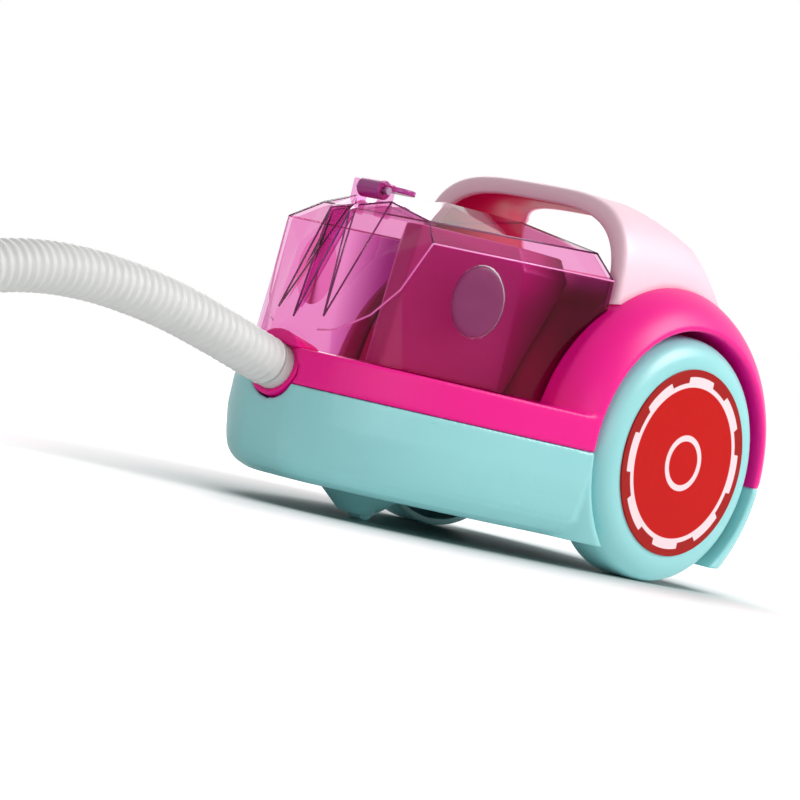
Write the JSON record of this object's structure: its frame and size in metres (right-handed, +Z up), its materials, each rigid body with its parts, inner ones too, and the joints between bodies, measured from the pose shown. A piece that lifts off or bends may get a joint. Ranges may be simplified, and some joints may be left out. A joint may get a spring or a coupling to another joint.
{
  "type": "toy vacuum cleaner",
  "caption": "Toy canister vacuum cleaner with a clear lift-off bin, large rear wheels, a swivel caster, an arched carrying handle and a ribbed hose with a free end connector.",
  "frame": {"origin": "on the floor under the middle of the body's box, without the hose and its end connector", "axes": "-X points to the nose where the hose leaves, -Y to the vacuum cleaner's left side, +Z up"},
  "size_m": [0.5547, 0.28, 0.1535],
  "materials": {
    "mint_plastic": "glossy moulded ABS, mint green",
    "hot_pink_plastic": "glossy moulded ABS, hot pink",
    "clear_magenta": "clear tinted polystyrene, magenta",
    "pale_pink_plastic": "satin moulded ABS, pale pink",
    "crimson_plastic": "satin moulded ABS, crimson",
    "printed_disc": "printed sticker with red and pale rings",
    "white_plastic": "white acetal",
    "hose_plastic": "milky translucent polyethylene",
    "filter_foam": "filter mesh",
    "motor_can": "plated steel can",
    "black_plastic": "black polystyrene",
    "battery_jacket": "plain battery jacket",
    "board": "green circuit board",
    "steel": "zinc-plated steel"
  },
  "bodies": {
    "body": {"lower_shell": "mint_plastic", "upper_shell": "hot_pink_plastic", "handle": "pale_pink_plastic", "handle_lining": "crimson_plastic", "handle_screws": "steel", "wheel_axle": "steel", "axle_caps": "steel", "wheel_spacers": "white_plastic", "hose_socket": "hot_pink_plastic", "hose_plug": "hose_plastic", "hose": "hose_plastic", "hose_connector": "hot_pink_plastic", "filter_cover": "hot_pink_plastic", "filter_screen": "filter_foam", "motor": "motor_can", "motor_clamp": "white_plastic", "battery_tray": "black_plastic", "batteries": "battery_jacket", "battery_contacts": "steel", "battery_door": "mint_plastic", "door_screw": "steel", "circuit_board": "board", "speaker": "black_plastic", "power_switch": "black_plastic", "case_screws": "steel"},
    "left_wheel": {"left_wheel": "mint_plastic", "left_disc": "printed_disc"},
    "right_wheel": {"right_wheel": "mint_plastic", "right_disc": "printed_disc"},
    "caster": {"caster_turret": "mint_plastic", "roller_pin": "steel", "caster_clip": "steel"},
    "roller": {"caster_roller": "mint_plastic"},
    "bin": {"bin_cover": "clear_magenta", "latch_pin": "steel"},
    "latch": {"bin_latch": "clear_magenta"},
    "button": {"power_button": "pale_pink_plastic"},
    "fan": {"fan": "white_plastic", "motor_shaft": "steel"}
  },
  "joints": [
    {"name": "left_wheel_spin", "type": "hinge", "parent": "body", "child": "left_wheel", "pos_m": [0.0505, 0, 0.052], "axis": [0, 1, 0], "continuous": true},
    {"name": "right_wheel_spin", "type": "hinge", "parent": "body", "child": "right_wheel", "pos_m": [0.0505, 0, 0.052], "axis": [0, 1, 0], "continuous": true},
    {"name": "caster_swivel", "type": "hinge", "parent": "body", "child": "caster", "pos_m": [-0.0557, 0, 0.011], "axis": [0, 0, 1], "continuous": true},
    {"name": "roller_spin", "type": "hinge", "parent": "caster", "child": "roller", "pos_m": [-0.0527, 0, 0.0045], "axis": [0, 1, 0], "continuous": true},
    {"name": "bin_lift", "type": "slide", "parent": "body", "child": "bin", "axis": [0, 0, 1], "range_m": [0, 0.05]},
    {"name": "latch_turn", "type": "hinge", "parent": "bin", "child": "latch", "pos_m": [-0.088, 0, 0.1316], "axis": [0, -1, 0], "range_deg": [0, 30]},
    {"name": "button_press", "type": "slide", "parent": "body", "child": "button", "axis": [-0.5736, 0, -0.8192], "range_m": [0, 0.002], "stiffness_N_per_m": 400, "springref_m": -0.001},
    {"name": "fan_spin", "type": "hinge", "parent": "body", "child": "fan", "pos_m": [-0.043, 0, 0.065], "axis": [0, 0, 1], "continuous": true}
  ]
}
